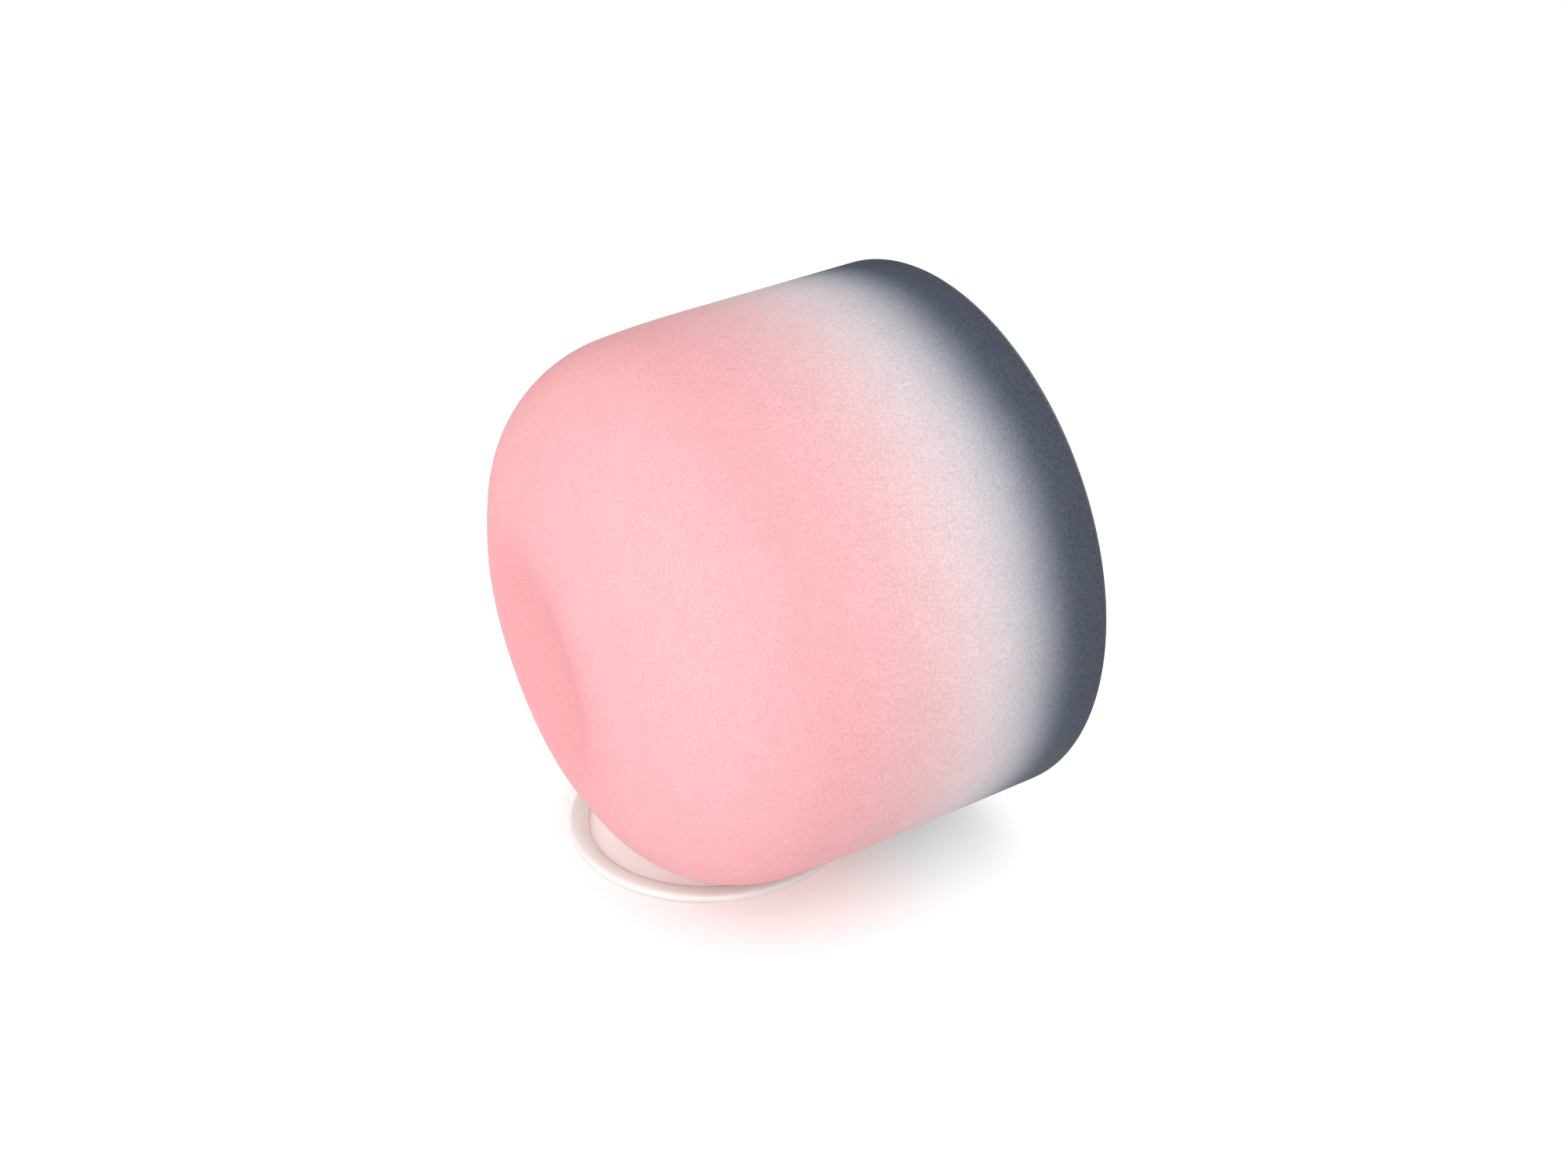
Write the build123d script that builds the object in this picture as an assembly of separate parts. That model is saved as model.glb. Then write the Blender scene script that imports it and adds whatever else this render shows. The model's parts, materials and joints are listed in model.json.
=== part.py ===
from build123d import *
import math
import os

# Silicone cupping cup lying on its side on a small clear stand ring. Millimetres, +Z up.
# The cup's axis lies in the XZ plane, its closed end towards -X and its mouth towards +X.
# The origin is on the standing surface, under the middle of the whole object.

# Outer shape of the cup: arcs that meet tangentially, from the pole to the rim
rim_radius = 36.0
cup_length = 56.5
crown_arc_radius = 57.0
shoulder_arc_radius = 18.8
wall_arc_radius = 148.0
wall_start_slope = 83.5
flare_slope = 87.6

# Wide shallow thumb dimple in the middle of the closed end
dimple_diameter = 28.0
dimple_depth = 1.2
dimple_edge_radius = 12.2

# Wall and rounded lip
wall = 3.0
lip_thickness = 4.0
lip_height = 5.0
lip_blend = 6.0
lip_edge_radius = 1.2

# Colour shots and the flexing zone, measured along the axis
rim_shot_height = 9.2
band_height = 11.0
shoulder_height = 14.0
crown_pad_radius = 16.0
crown_gap = 0.3

# Stand ring, and how the cup lies on it
ring_outer_radius = 19.6
ring_width = 2.4
ring_thickness = 1.2
ring_edge_radius = 0.5
ring_offset_x = -1.7
ring_offset_y = 4.9
cup_tilt = 6.1
seat_clearance = 0.1

# Reach of the cutting solids past what they cut
margin = 5.0


def sine(angle):
    return math.sin(math.radians(angle))


def cosine(angle):
    return math.cos(math.radians(angle))


def arc_end(start, radius, slope_from, slope_to):
    # Slope 0 runs out from the axis and slope 90 runs along it, towards the mouth
    out = start[0] + radius * (sine(slope_to) - sine(slope_from))
    along = start[1] + radius * (cosine(slope_from) - cosine(slope_to))
    return out, along


def crown_slope():
    # Slope at which the crown meets the shoulder, so that the flare reaches the rim radius:
    # the sum of the arcs' radial runs, solved for that slope
    cot = cosine(flare_slope) / sine(flare_slope)
    wall_run = wall_arc_radius * (sine(flare_slope) - sine(wall_start_slope))
    wall_drop = wall_arc_radius * (cosine(wall_start_slope) - cosine(flare_slope))
    shoulder_drop = shoulder_arc_radius * cosine(wall_start_slope)
    flare_run = (cup_length - crown_arc_radius + shoulder_drop - wall_drop) * cot
    rest = rim_radius - shoulder_arc_radius * sine(wall_start_slope) - wall_run - flare_run
    share = rest * sine(flare_slope) / (crown_arc_radius - shoulder_arc_radius)
    return flare_slope - math.degrees(math.acos(share))


def follow_arcs(start, arcs):
    # Tangent arcs one after another, each given as radius, first slope and last slope
    lines = []
    for radius, slope_from, slope_to in arcs:
        middle = arc_end(start, radius, slope_from, (slope_from + slope_to) / 2)
        end = arc_end(start, radius, slope_from, slope_to)
        lines.append(ThreePointArc(start, middle, end))
        start = end
    return lines, start


def flare_point(start, along):
    return start[0] + (along - start[1]) * cosine(flare_slope) / sine(flare_slope), along


def wall_line(inset):
    # Dimple bowl, dimple edge, crown, shoulder and wall arcs, all moved in by the inset:
    # the bowl curves the other way, so its radius grows while the others shrink
    turn = 2 * math.degrees(math.atan(2 * dimple_depth / dimple_diameter))
    edge = dimple_edge_radius
    bowl = dimple_diameter / 2 / sine(turn) - edge
    join = math.degrees(math.asin(dimple_diameter / 2 / (crown_arc_radius - edge)))
    crown_height = crown_arc_radius * (1 - cosine(join))
    dimple_rise = bowl * (1 - cosine(turn)) - edge * (cosine(turn) - cosine(join))
    pole = (0, crown_height + dimple_rise + inset)
    arcs = [
        (-bowl - inset, 0, -turn),
        (edge - inset, -turn, join),
        (crown_arc_radius - inset, join, crown_slope()),
        (shoulder_arc_radius - inset, crown_slope(), wall_start_slope),
        (wall_arc_radius - inset, wall_start_slope, flare_slope),
    ]
    lines, end = follow_arcs(pole, arcs)
    return lines, pole, end


def outer_line():
    # The wall's outside, then the straight flare to the rim
    lines, pole, end = wall_line(0)
    rim = flare_point(end, cup_length)
    return lines + [Line(end, rim)], pole, rim


def inner_line():
    # The wall's inside, then the thicker lip
    lines, pole, end = wall_line(wall)
    blend_start = flare_point(end, cup_length - lip_height - lip_blend)
    lip_start = (rim_radius - lip_thickness, cup_length - lip_height)
    lip_end = (rim_radius - lip_thickness, cup_length)
    lines += [Line(end, blend_start), Line(blend_start, lip_start), Line(lip_start, lip_end)]
    return lines, pole, lip_end


def cup_shell():
    outer, pole, rim = outer_line()
    inner, inner_pole, lip = inner_line()
    outline = outer + inner + [Line(pole, inner_pole), Line(rim, lip)]
    section = Plane.XZ * make_face(outline)
    shell = revolve(section, Axis.Z)
    lip_edges = shell.edges().filter_by(GeomType.CIRCLE).group_by(Axis.Z)[-1]
    return fillet(lip_edges, lip_edge_radius)


def slab(low, high, radius=rim_radius + margin):
    # Solid of revolution between two distances along the cup's axis
    return Pos(0, 0, (low + high) / 2) * Cylinder(radius, high - low)


def cup_pieces():
    # The cup's shots and zones in its own frame, pole at the origin and mouth along +Z
    shell = cup_shell()
    band_top = cup_length - rim_shot_height
    band_bottom = band_top - band_height
    crown_zone = shell & slab(-margin, shoulder_height)
    return {
        "rim_lip": shell & slab(band_top, cup_length + margin),
        "mid_band": shell & slab(band_bottom, band_top),
        "bulb_wall": shell & slab(shoulder_height, band_bottom),
        "flex_shoulder": crown_zone - slab(-margin, shoulder_height, crown_pad_radius + crown_gap),
        "crown_pad": crown_zone & slab(-margin, shoulder_height, crown_pad_radius),
    }


def ring_annulus(height):
    tall = Cylinder(ring_outer_radius, height) - Cylinder(ring_outer_radius - ring_width, height)
    return Pos(ring_offset_x, ring_offset_y, height / 2) * tall


def stand_ring():
    ring = ring_annulus(ring_thickness)
    return fillet(ring.edges().filter_by(GeomType.CIRCLE), ring_edge_radius)


def lay_down(piece):
    # The cup's axis tips from +Z to just above +X, about the middle of the axis
    middle = Pos(0, 0, -cup_length / 2)
    return Rot(0, 90 - cup_tilt, 0) * middle * piece


def seat_height(pieces):
    # The cup's lowest point stands on the surface, or the cup lifts until it clears the ring
    cup = Compound(children=[Compound(children=piece.solids()) for piece in pieces])
    lowest = cup.bounding_box().min.Z
    column = Pos(0, 0, lowest) * ring_annulus(rim_radius)
    over_ring = min((piece & column).bounding_box().min.Z for piece in pieces if piece & column)
    return -lowest + max(0.0, ring_thickness + seat_clearance - (over_ring - lowest))


def assembly():
    pieces = {name: lay_down(piece) for name, piece in cup_pieces().items()}
    lift = Pos(0, 0, seat_height(list(pieces.values())))
    pieces = {name: lift * piece for name, piece in pieces.items()}
    pieces["stand_ring"] = stand_ring()
    box = Compound(children=[solid for piece in pieces.values() for solid in piece.solids()]).bounding_box()
    centre = Pos(-box.center().X, -box.center().Y, -box.min.Z)
    return {name: centre * piece for name, piece in pieces.items()}


os.makedirs("parts", exist_ok=True)
for node, piece in assembly().items():
    export_step(piece, f"parts/{node}.step")
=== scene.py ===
import json
import math
import bpy
import numpy as np
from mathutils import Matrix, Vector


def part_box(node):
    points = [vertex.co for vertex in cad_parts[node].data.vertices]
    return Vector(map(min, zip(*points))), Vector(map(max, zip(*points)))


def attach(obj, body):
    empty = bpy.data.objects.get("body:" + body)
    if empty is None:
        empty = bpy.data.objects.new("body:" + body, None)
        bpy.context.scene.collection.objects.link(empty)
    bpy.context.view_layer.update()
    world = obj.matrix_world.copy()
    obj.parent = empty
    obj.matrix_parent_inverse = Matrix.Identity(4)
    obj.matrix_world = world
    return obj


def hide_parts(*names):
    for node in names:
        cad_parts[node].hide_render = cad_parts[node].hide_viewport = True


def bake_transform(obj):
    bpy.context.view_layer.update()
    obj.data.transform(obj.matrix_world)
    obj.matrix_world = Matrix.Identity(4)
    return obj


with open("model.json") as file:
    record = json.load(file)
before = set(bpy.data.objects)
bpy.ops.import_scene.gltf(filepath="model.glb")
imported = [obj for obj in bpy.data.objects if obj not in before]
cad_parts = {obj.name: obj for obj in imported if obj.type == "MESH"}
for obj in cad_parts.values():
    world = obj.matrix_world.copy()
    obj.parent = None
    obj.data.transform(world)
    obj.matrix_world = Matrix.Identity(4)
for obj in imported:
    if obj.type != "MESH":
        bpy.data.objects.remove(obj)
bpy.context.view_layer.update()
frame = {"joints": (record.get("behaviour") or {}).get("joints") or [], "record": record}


# the cup turns about the press joint's axis, and its mouth is at the rim's land
cup = {
    "rimRadius": 0.0360,
    "length": 0.0565,
    "crownRadius": 0.0570,
    "shoulderRadius": 0.0188,
    "wallRadius": 0.1480,
    "wallStartSlope": 83.5,
    "flareSlope": 87.6,
    "dimpleDiameter": 0.0280,
    "dimpleDepth": 0.0012,
    "dimpleEdge": 0.0122,
    "wall": 0.0030,
    "lipThickness": 0.0040,
    "lipHeight": 0.0050,
    "lipBlend": 0.0060,
    "lipEdge": 0.0012,
    "bendFrom": 0.0280,    # the pressed crown pulls the wall from here
    "bendTo": 0.0075,    # and carries all of it from here to the pole
    "around": 240,
    "step": 0.0004,
    "innerStep": 0.0006,
    "cornerSteps": 10,
}


def cupAxis():
    # unit vector from the pole to the mouth, with the two that span the mouth's plane
    press = [joint for joint in frame["joints"] if joint["name"] == "crown_press"][0]
    along = np.array(press["axis"], float)
    along /= np.linalg.norm(along)
    side = np.array([0.0, 1.0, 0.0])
    return along, np.cross(along, side), side


def rimCentre():
    # the land's mount is half a land out from the axis, straight up in the mouth's plane
    land = [m for m in frame["record"]["mounts"] if m["name"] == "rim_land"][0]
    along, up, side = cupAxis()
    outward = np.sign(up[2]) * up
    return np.array(land["pos_m"]) - outward * (cup["rimRadius"] - cup["lipThickness"] / 2)


def newPiece(name, points, faces):
    # a smooth shaded mesh object at the origin, from its points and faces
    mesh = bpy.data.meshes.new(name)
    mesh.from_pydata(points.tolist(), [], faces)
    mesh.update()
    mesh.shade_smooth()
    piece = bpy.data.objects.new(name, mesh)
    bpy.context.scene.collection.objects.link(piece)
    return piece


def gridFaces(rows, columns, closedRows=False):
    # quads of a grid that closes on itself around its columns, and around its rows if asked
    last = rows if closedRows else rows - 1
    row, column = np.meshgrid(np.arange(last), np.arange(columns), indexing="ij")
    nextRow, nextColumn = (row + 1) % rows, (column + 1) % columns
    quads = [row * columns + column, nextRow * columns + column,
             nextRow * columns + nextColumn, row * columns + nextColumn]
    return np.stack(quads, axis=-1).reshape(-1, 4)


def smoothStep(value):
    # three times the square less twice the cube, held between nought and one
    value = np.clip(value, 0, 1)
    return value * value * (3 - 2 * value)


def tangentArc(start, radius, slopeFrom, slopeTo, step):
    # an arc's radial run is its radius times the change of the slope's sine,
    # and its run along the axis is its radius times the change of the slope's cosine
    first, last = math.radians(slopeFrom), math.radians(slopeTo)
    count = max(4, int(abs(radius * (last - first)) / step))
    slope = np.linspace(first, last, count + 1)[1:]
    out = start[0] + radius * (np.sin(slope) - math.sin(first))
    height = start[1] + radius * (math.cos(first) - np.cos(slope))
    return np.stack([out, height], axis=1)


def straightRun(start, end, step):
    # even points from start to end, without the start
    count = max(2, int(math.dist(start, end) / step))
    share = np.linspace(0, 1, count + 1)[1:, None]
    return np.array(start) * (1 - share) + np.array(end) * share


def crownSlope():
    # slope at which the crown meets the shoulder, so that the flare reaches the rim radius
    flare, wallStart = math.radians(cup["flareSlope"]), math.radians(cup["wallStartSlope"])
    wallRun = cup["wallRadius"] * (math.sin(flare) - math.sin(wallStart))
    wallDrop = cup["wallRadius"] * (math.cos(wallStart) - math.cos(flare))
    shoulderDrop = cup["shoulderRadius"] * math.cos(wallStart)
    flareRun = (cup["length"] - cup["crownRadius"] + shoulderDrop - wallDrop) / math.tan(flare)
    rest = cup["rimRadius"] - cup["shoulderRadius"] * math.sin(wallStart) - wallRun - flareRun
    share = rest * math.sin(flare) / (cup["crownRadius"] - cup["shoulderRadius"])
    return cup["flareSlope"] - math.degrees(math.acos(share))


def flareRadius(start, height):
    # start's radius plus the climb since then over the tangent of the flare's slope
    return start[0] + (height - start[1]) / math.tan(math.radians(cup["flareSlope"]))


def wallOutline(inset, step):
    # dimple bowl, dimple edge, crown, shoulder and wall arcs, all moved in by the inset:
    # the bowl curves the other way, so its radius grows by the inset and the others shrink
    turn = 2 * math.degrees(math.atan(2 * cup["dimpleDepth"] / cup["dimpleDiameter"]))
    edge = cup["dimpleEdge"]
    bowl = cup["dimpleDiameter"] / 2 / math.sin(math.radians(turn)) - edge
    join = math.degrees(math.asin(cup["dimpleDiameter"] / 2 / (cup["crownRadius"] - edge)))
    cosTurn, cosJoin = math.cos(math.radians(turn)), math.cos(math.radians(join))
    pole = cup["crownRadius"] * (1 - cosJoin) + bowl * (1 - cosTurn) - edge * (cosTurn - cosJoin)
    arcs = [(-bowl, 0, -turn), (edge, -turn, join), (cup["crownRadius"], join, crownSlope()),
            (cup["shoulderRadius"], crownSlope(), cup["wallStartSlope"]),
            (cup["wallRadius"], cup["wallStartSlope"], cup["flareSlope"])]
    parts = [np.array([[0.0, pole + inset]])]
    for radius, slopeFrom, slopeTo in arcs:
        parts.append(tangentArc(parts[-1][-1], radius - inset, slopeFrom, slopeTo, step))
    return parts


def outerOutline():
    # the wall's outside, the flare and the lip's outer corner
    parts = wallOutline(0, cup["step"])
    cornerDrop = cup["lipEdge"] * (1 + math.cos(math.radians(cup["flareSlope"])))
    height = cup["length"] - cornerDrop
    flareEnd = (flareRadius(parts[-1][-1], height), height)
    parts.append(straightRun(parts[-1][-1], flareEnd, cup["step"]))
    parts.append(tangentArc(flareEnd, cup["lipEdge"], cup["flareSlope"], 180,
                            cup["lipEdge"] / cup["cornerSteps"]))
    return np.concatenate(parts)


def innerOutline():
    # the wall's inside, then the lip's thickening, from the pole to the land
    parts = wallOutline(cup["wall"], cup["innerStep"])
    lipRadius = cup["rimRadius"] - cup["lipThickness"]
    lipStart = cup["length"] - cup["lipHeight"]
    cornerStart = cup["length"] - cup["lipEdge"]
    start = parts[-1][-1]
    count = int((cornerStart - start[1]) / cup["innerStep"])
    height = np.linspace(start[1], cornerStart, count + 1)[1:]
    thicker = smoothStep((height - lipStart + cup["lipBlend"]) / cup["lipBlend"])
    plain = flareRadius(start, height)
    parts.append(np.stack([plain * (1 - thicker) + lipRadius * thicker, height], axis=1))
    slope = np.linspace(0, math.pi / 2, cup["cornerSteps"] + 1)[1:]
    cornerOut = lipRadius + cup["lipEdge"] * (1 - np.cos(slope))
    cornerHeight = cornerStart + cup["lipEdge"] * np.sin(slope)
    parts.append(np.stack([cornerOut, cornerHeight], axis=1))
    return np.concatenate(parts)


def makeCupSkin():
    # a turned surface: each outline point goes round the axis at its radius and height,
    # from the outer pole over the lip to the inner pole, with one point at each pole
    outer, inner = outerOutline(), innerOutline()
    land = straightRun(outer[-1], inner[-1], cup["step"])[:-1]
    outline = np.concatenate([outer[1:], land, inner[:0:-1]])
    along, up, side = cupAxis()
    pole = rimCentre() - along * cup["length"]
    angle = np.linspace(0, 2 * math.pi, cup["around"], endpoint=False)
    spoke = np.cos(angle)[:, None] * up + np.sin(angle)[:, None] * side
    points = pole + outline[:, 1, None, None] * along + outline[:, 0, None, None] * spoke
    poles = pole + np.array([outer[0, 1], inner[0, 1]])[:, None] * along
    columns = cup["around"]
    rows = len(outline)
    quads = gridFaces(rows, columns)
    here = np.arange(columns)
    onward = (here + 1) % columns
    outerPole, innerPole = rows * columns, rows * columns + 1
    base = (rows - 1) * columns
    outerFan = np.stack([np.full(columns, outerPole), here, onward], axis=1)
    innerFan = np.stack([base + here, np.full(columns, innerPole), base + onward], axis=1)
    faces = quads.tolist() + outerFan.tolist() + innerFan.tolist()
    piece = newPiece("cup_skin", np.concatenate([points.reshape(-1, 3), poles]), faces)
    for name, place in (("fromAxis", 0), ("fromPole", 1)):
        values = np.concatenate([np.repeat(outline[:, place], columns),
                                 [outer[0, place], inner[0, place]]])
        attribute = piece.data.attributes.new(name, "FLOAT", "POINT")
        attribute.data.foreach_set("value", values.astype(np.float32))
    return piece, pole, along


silicone = {
    "shots": {    # colour by distance from the pole
        "pink": (0.0200, (0.552, 0.262, 0.275)),
        "blush": (0.0300, (0.507, 0.293, 0.303)),
        "shell": (0.0365, (0.485, 0.350, 0.364)),
        "lilacWhite": (0.0415, (0.422, 0.378, 0.393)),
        "mist": (0.0460, (0.270, 0.268, 0.297)),
        "slateEdge": (0.0500, (0.0530, 0.0690, 0.0930)),
        "slate": (0.0530, (0.0425, 0.0480, 0.0620)),
    },
    # painted shade for the dimple round the crown's middle, darker in green and blue
    "dimpleShadeTint": (1.0, 0.87, 0.88),
    "dimpleShadeEnds": (0.010, 0.021),    # distances from the axis
    "drift": (60, 2),    # noise scale and detail, as in the next two
    "mottle": (260, 4),
    "grain": (3300, 2),
    "driftWidth": 0.0012,    # how far a colour edge wanders
    "speckleShare": 0.20,
    "cloudShare": 0.05,
    "frostShare": 0.018,
    "roughness": (0.54, 0.66),
    "grainDepth": 0.00003,
    "grainStrength": 0.6,
    "ior": 1.41,
    "shine": 0.08,
    "clearShare": (0.2, 0.1),    # light spread inside, from the pink to the slate
    "clearEnds": (0.024, 0.040),
    "clearTint": (1.0, 0.4, 0.4),
    "lightReach": 0.002,
}


def node(tree, kind, **values):
    # a new node with those settings
    made = tree.nodes.new(kind)
    for name, value in values.items():
        setattr(made, name, value)
    return made


def noise(tree, place, settings):
    # a noise in object coordinates, from its scale and detail
    made = node(tree, "ShaderNodeTexNoise")
    made.inputs["Scale"].default_value, made.inputs["Detail"].default_value = settings
    tree.links.new(place.outputs["Object"], made.inputs["Vector"])
    return made.outputs["Fac"]


def spread(tree, source, fromEnds, toEnds, kind="LINEAR"):
    # the source's run between the first ends is laid on the second ends
    made = node(tree, "ShaderNodeMapRange", interpolation_type=kind)
    names = ("From Min", "From Max", "To Min", "To Max")
    for name, value in zip(names, (*fromEnds, *toEnds)):
        made.inputs[name].default_value = value
    tree.links.new(source, made.inputs["Value"])
    return made.outputs["Result"]


def blended(tree, kind, share, under, over):
    # two colours blended by a share, each a plain value or another node's output
    made = node(tree, "ShaderNodeMixRGB", blend_type=kind)
    for name, value in (("Fac", share), ("Color1", under), ("Color2", over)):
        if isinstance(value, bpy.types.NodeSocket):
            tree.links.new(value, made.inputs[name])
        elif name == "Fac":
            made.inputs[name].default_value = value
        else:
            made.inputs[name].default_value = (*value, 1)
    return made.outputs["Color"]


def siliconeMaterial():
    # frosted silicone: the colour goes by the distance from the pole, softly from shot to shot,
    # plus a wander of half its width either way
    material = bpy.data.materials.new("frostedSilicone")
    material.use_nodes = True
    tree = material.node_tree
    link = tree.links.new
    shader = tree.nodes["Principled BSDF"]
    height = node(tree, "ShaderNodeAttribute", attribute_name="fromPole").outputs["Fac"]
    radius = node(tree, "ShaderNodeAttribute", attribute_name="fromAxis").outputs["Fac"]
    place = node(tree, "ShaderNodeTexCoord")
    drift = noise(tree, place, silicone["drift"])    # the shots run into each other unevenly
    mottle = noise(tree, place, silicone["mottle"])    # faint cloudiness in the mass
    grain = noise(tree, place, silicone["grain"])    # frosting

    wander = node(tree, "ShaderNodeMath", operation="MULTIPLY_ADD")
    wander.inputs[1].default_value = silicone["driftWidth"]
    wander.inputs[2].default_value = -silicone["driftWidth"] / 2
    link(drift, wander.inputs[0])
    wandered = node(tree, "ShaderNodeMath", operation="ADD")
    link(height, wandered.inputs[0])
    link(wander.outputs[0], wandered.inputs[1])
    shots = node(tree, "ShaderNodeValToRGB")
    shots.color_ramp.interpolation = "B_SPLINE"
    while len(shots.color_ramp.elements) < len(silicone["shots"]):
        shots.color_ramp.elements.new(1.0)
    for element, (stop, colour) in zip(shots.color_ramp.elements, silicone["shots"].values()):
        element.position = stop / cup["length"]
        element.color = (*colour, 1)
    link(spread(tree, wandered.outputs[0], (0, cup["length"]), (0, 1)), shots.inputs["Fac"])

    speckled = blended(tree, "OVERLAY", silicone["speckleShare"], shots.outputs["Color"], grain)
    clouded = blended(tree, "OVERLAY", silicone["cloudShare"], speckled, mottle)
    # painted shade: round the crown's middle, where the dimple is, the colour is darkened and
    # reddened as if shaded in the hollow
    dimpleShadeShare = spread(tree, radius, silicone["dimpleShadeEnds"], (1, 0), "SMOOTHSTEP")
    dimpleShaded = blended(tree, "MULTIPLY", dimpleShadeShare, clouded, silicone["dimpleShadeTint"])
    frosted = blended(tree, "LINEAR_LIGHT", silicone["frostShare"], dimpleShaded, grain)
    link(frosted, shader.inputs["Base Color"])

    link(spread(tree, mottle, (0, 1), silicone["roughness"]), shader.inputs["Roughness"])
    bump = node(tree, "ShaderNodeBump")
    bump.inputs["Strength"].default_value = silicone["grainStrength"]
    bump.inputs["Distance"].default_value = silicone["grainDepth"]
    link(grain, bump.inputs["Height"])
    link(bump.outputs["Normal"], shader.inputs["Normal"])

    shader.inputs["IOR"].default_value = silicone["ior"]
    shader.inputs["Specular IOR Level"].default_value = silicone["shine"]
    # the pink lets the most light through
    clear = spread(tree, height, silicone["clearEnds"], silicone["clearShare"])
    link(clear, shader.inputs["Subsurface Weight"])
    shader.inputs["Subsurface Radius"].default_value = silicone["clearTint"]
    shader.inputs["Subsurface Scale"].default_value = silicone["lightReach"]
    return material


ring = {
    "width": 0.0024,
    "squareness": 3.4,
    "around": 192,
    "sectionPoints": 40,
    "tint": (0.82, 0.79, 0.76),
    "darkest": 0.95,    # share of the tint where the haze is thickest
    "haze": (420, 3),    # noise scale and detail
    "roughness": (0.55, 0.68),
    "clearness": 0.40,
    "milkiness": 0.8,    # share of the light that spreads inside
    "milkTint": (1.0, 0.9, 0.85),
    "milkReach": 0.003,
    "shine": 0.3,
    "ior": 1.45,
}


def makeStandRing():
    # a ring whose section is a squarish oval: each coordinate is its half size times
    # a cosine or sine raised to two over the squareness, with its sign kept
    low, high = (np.array(corner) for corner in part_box("stand_ring"))
    centre = (low + high) / 2
    middleRadius = (high[0] - low[0]) / 2 - ring["width"] / 2
    power = 2 / ring["squareness"]
    turn = np.linspace(0, 2 * math.pi, ring["sectionPoints"], endpoint=False)
    out = np.sign(np.cos(turn)) * np.abs(np.cos(turn)) ** power * ring["width"] / 2
    rise = np.sign(np.sin(turn)) * np.abs(np.sin(turn)) ** power * (high[2] - low[2]) / 2
    angle = np.linspace(0, 2 * math.pi, ring["around"], endpoint=False)
    radius = middleRadius + out[:, None]
    x = centre[0] + radius * np.cos(angle)
    y = centre[1] + radius * np.sin(angle)
    z = centre[2] + np.broadcast_to(rise[:, None], x.shape)
    points = np.stack([x, y, z], axis=-1).reshape(-1, 3)
    faces = gridFaces(ring["sectionPoints"], ring["around"], closedRows=True)[:, ::-1]
    return newPiece("clear_ring", points, faces.tolist())


def ringMaterial():
    # milky clear plastic, a little uneven inside
    material = bpy.data.materials.new("milkyClearRing")
    material.use_nodes = True
    tree = material.node_tree
    link = tree.links.new
    shader = tree.nodes["Principled BSDF"]
    haze = noise(tree, node(tree, "ShaderNodeTexCoord"), ring["haze"])
    darkest = tuple(value * ring["darkest"] for value in ring["tint"])
    link(blended(tree, "MIX", haze, darkest, ring["tint"]), shader.inputs["Base Color"])
    link(spread(tree, haze, (0, 1), ring["roughness"]), shader.inputs["Roughness"])
    shader.inputs["Transmission Weight"].default_value = ring["clearness"]
    shader.inputs["Subsurface Weight"].default_value = ring["milkiness"]
    shader.inputs["Subsurface Radius"].default_value = ring["milkTint"]
    shader.inputs["Subsurface Scale"].default_value = ring["milkReach"]
    shader.inputs["Specular IOR Level"].default_value = ring["shine"]
    shader.inputs["IOR"].default_value = ring["ior"]
    return material


studio = {
    "floorSize": 6.0,
    "floorWhite": 0.32,
    "floorRoughness": 0.9,
    "floorShine": 0.1,
    "floorGlow": 0.85,
    "paintedShadowPink": (0.53, 0.31, 0.30),    # painted shadow, tinted as painted pink bounce light, left where the pink part touches
    "paintedShadowGrey": (0.33, 0.32, 0.31),    # and painted grey shadow where the slate part does
    "contactEnds": (0.000, 0.014),    # from the pink's end to the grey's start, along X
    "contactReach": 0.021,
    "contactSamples": 16,
    "skyStrength": 0.18,
    "skySeen": 1.0,    # what the camera sees past the floor
    "lamps": {    # strength, angular size, azimuth, elevation
        "softbox": (5.7, 80.0, -48.0, 36.0),
        "backLight": (5.5, 50.0, 106.0, 4.0),
    },
}
shot = {
    "azimuth": -30.61,
    "elevation": 24.42,
    "lens": 28.11,
    "distance": 0.1530,
    "right": 0.0060,
    "up": 0.0007,
    "sensor": 36,
    "nearest": 0.01,
}


def sightVectors(azimuth, elevation):
    # back, right and up of a camera at that azimuth and elevation
    a, e = math.radians(azimuth), math.radians(elevation)
    back = np.array([math.sin(a) * math.cos(e), -math.cos(a) * math.cos(e), math.sin(e)])
    right = np.array([math.cos(a), math.sin(a), 0.0])
    return back, right, np.cross(back, right)


def aim(thing, azimuth, elevation):
    # a lamp or camera that looks along its own minus Z is tipped up from straight down
    # by ninety degrees less the elevation, then turned by the azimuth
    thing.rotation_euler = (math.radians(90 - elevation), 0, math.radians(azimuth))


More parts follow.
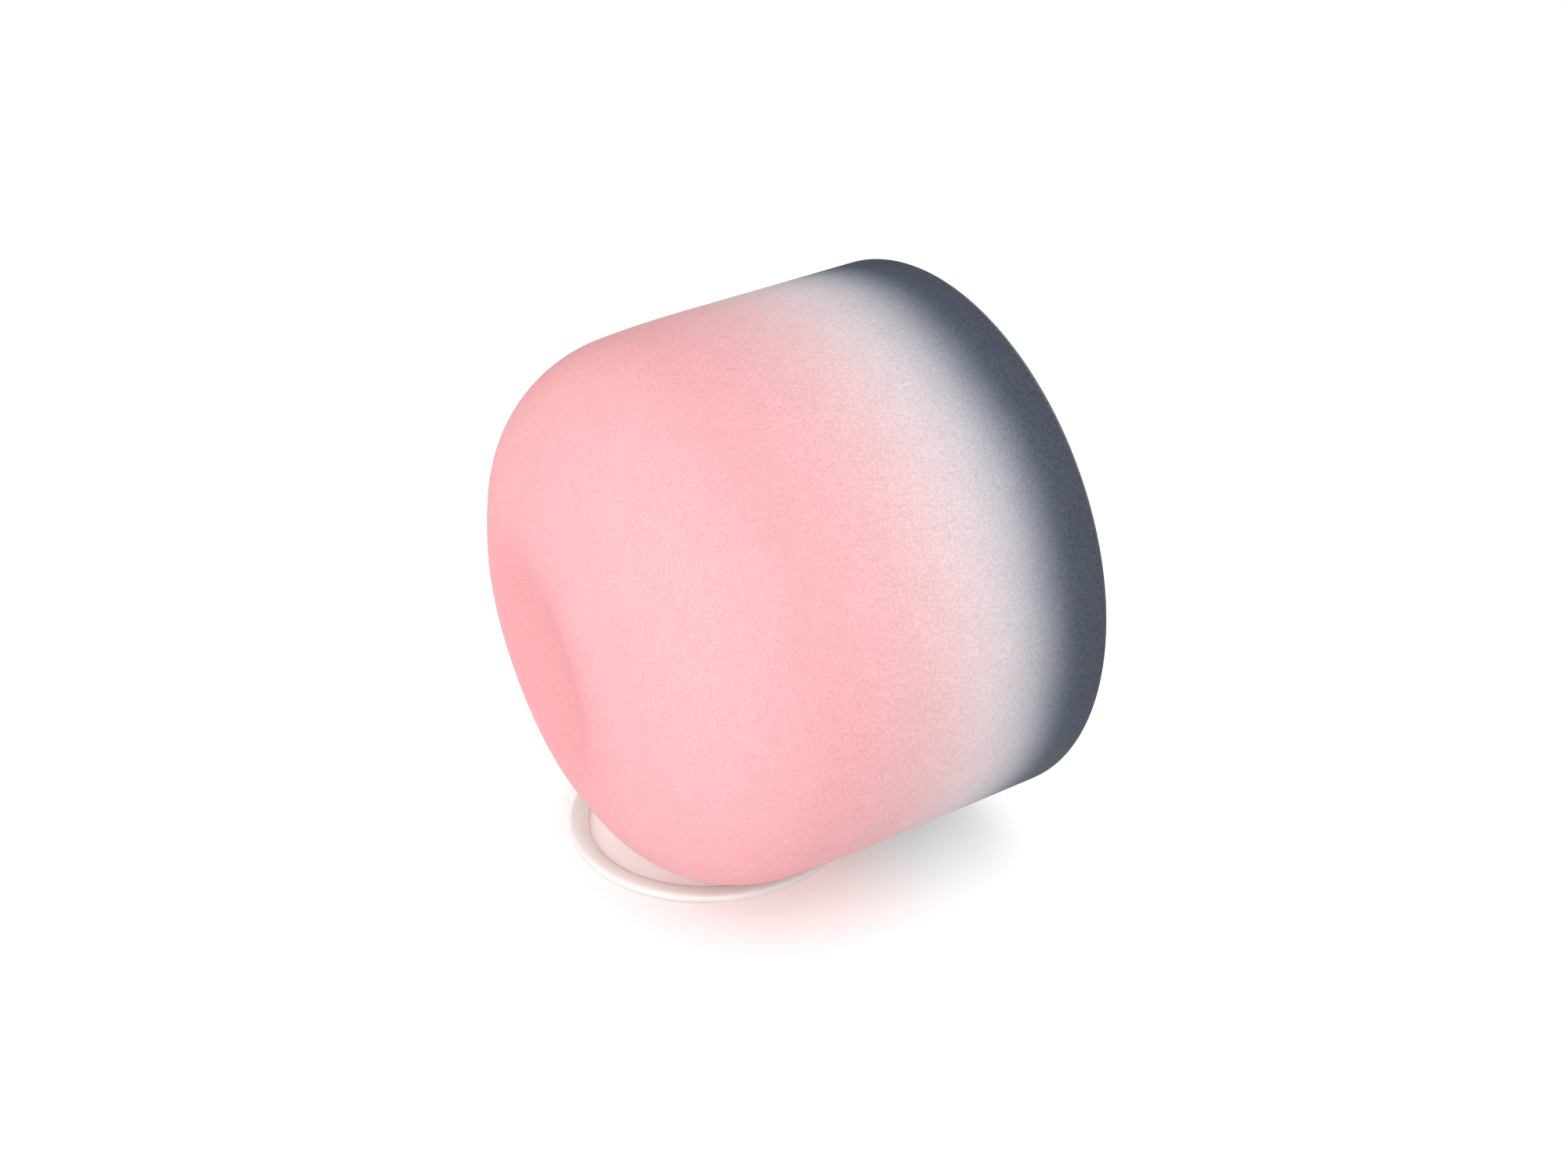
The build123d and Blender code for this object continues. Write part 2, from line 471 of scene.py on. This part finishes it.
def makeFloor():
    # white paper that glows, with painted shade: the glow is darker, in painted pink or grey
    # shadow tints, the nearer the cup is to it
    half = studio["floorSize"] / 2
    corners = np.array([[-half, -half, 0], [half, -half, 0], [half, half, 0], [-half, half, 0]])
    floor = newPiece("floor", corners, [[0, 1, 2, 3]])
    paper = bpy.data.materials.new("whitePaper")
    paper.use_nodes = True
    tree = paper.node_tree
    link = tree.links.new
    shader = tree.nodes["Principled BSDF"]
    shader.inputs["Base Color"].default_value = (*[studio["floorWhite"]] * 3, 1)
    shader.inputs["Roughness"].default_value = studio["floorRoughness"]
    shader.inputs["Specular IOR Level"].default_value = studio["floorShine"]
    shader.inputs["Emission Strength"].default_value = studio["floorGlow"]
    across = node(tree, "ShaderNodeSeparateXYZ")
    link(node(tree, "ShaderNodeTexCoord").outputs["Object"], across.inputs["Vector"])
    greyShare = spread(tree, across.outputs["X"], studio["contactEnds"], (0, 1))
    tint = blended(tree, "MIX", greyShare, studio["paintedShadowPink"], studio["paintedShadowGrey"])
    contact = node(tree, "ShaderNodeAmbientOcclusion", samples=studio["contactSamples"])
    contact.inputs["Distance"].default_value = studio["contactReach"]
    # painted contact shadow: where the cup hides the floor, the glow falls toward the shadow
    # tint
    glow = blended(tree, "MIX", contact.outputs["AO"], tint, (1, 1, 1))
    link(glow, shader.inputs["Emission Color"])
    floor.data.materials.append(paper)


def makeSky():
    # its strength is its own, plus the rest of what is seen for rays from the camera
    world = bpy.data.worlds.new("whiteRoom")
    world.use_nodes = True
    tree = world.node_tree
    sky = tree.nodes["Background"]
    sky.inputs["Color"].default_value = (1, 1, 1, 1)
    gain = node(tree, "ShaderNodeMath", operation="MULTIPLY_ADD")
    gain.inputs[1].default_value = studio["skySeen"] - studio["skyStrength"]
    gain.inputs[2].default_value = studio["skyStrength"]
    tree.links.new(node(tree, "ShaderNodeLightPath").outputs["Is Camera Ray"], gain.inputs[0])
    tree.links.new(gain.outputs[0], sky.inputs["Strength"])
    bpy.context.scene.world = world


def makeLamps():
    # wide soft suns, each aimed from its azimuth and elevation
    for name, (strength, angle, azimuth, elevation) in studio["lamps"].items():
        light = bpy.data.lights.new(name, "SUN")
        light.energy = strength
        light.angle = math.radians(angle)
        lamp = bpy.data.objects.new(name, light)
        aim(lamp, azimuth, elevation)
        bpy.context.scene.collection.objects.link(lamp)


def makeCamera(target):
    # it stands back from the target along its line of sight, moved right and up
    camera = bpy.data.objects.new("camera", bpy.data.cameras.new("camera"))
    back, right, up = sightVectors(shot["azimuth"], shot["elevation"])
    camera.location = target + back * shot["distance"] + right * shot["right"] + up * shot["up"]
    aim(camera, shot["azimuth"], shot["elevation"])
    camera.data.sensor_width = shot["sensor"]
    camera.data.lens = shot["lens"]
    camera.data.clip_start = shot["nearest"]
    scene = bpy.context.scene
    scene.collection.objects.link(camera)
    scene.camera = camera
    scene.view_settings.view_transform = "Standard"


cupSkin, pole, along = makeCupSkin()
cupSkin.data.materials.append(siliconeMaterial())
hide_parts("rim_lip", "mid_band", "bulb_wall", "flex_shoulder", "crown_pad")
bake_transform(cupSkin)
print("cup skin:", len(cupSkin.data.polygons), "faces")

clearRing = makeStandRing()
clearRing.data.materials.append(ringMaterial())
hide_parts("stand_ring")
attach(clearRing, "ring")
print("stand ring:", len(clearRing.data.polygons), "faces")

makeFloor()
makeSky()
makeLamps()
makeCamera(pole + along * cup["length"] / 2)
print("floor, sky, lamps and camera")
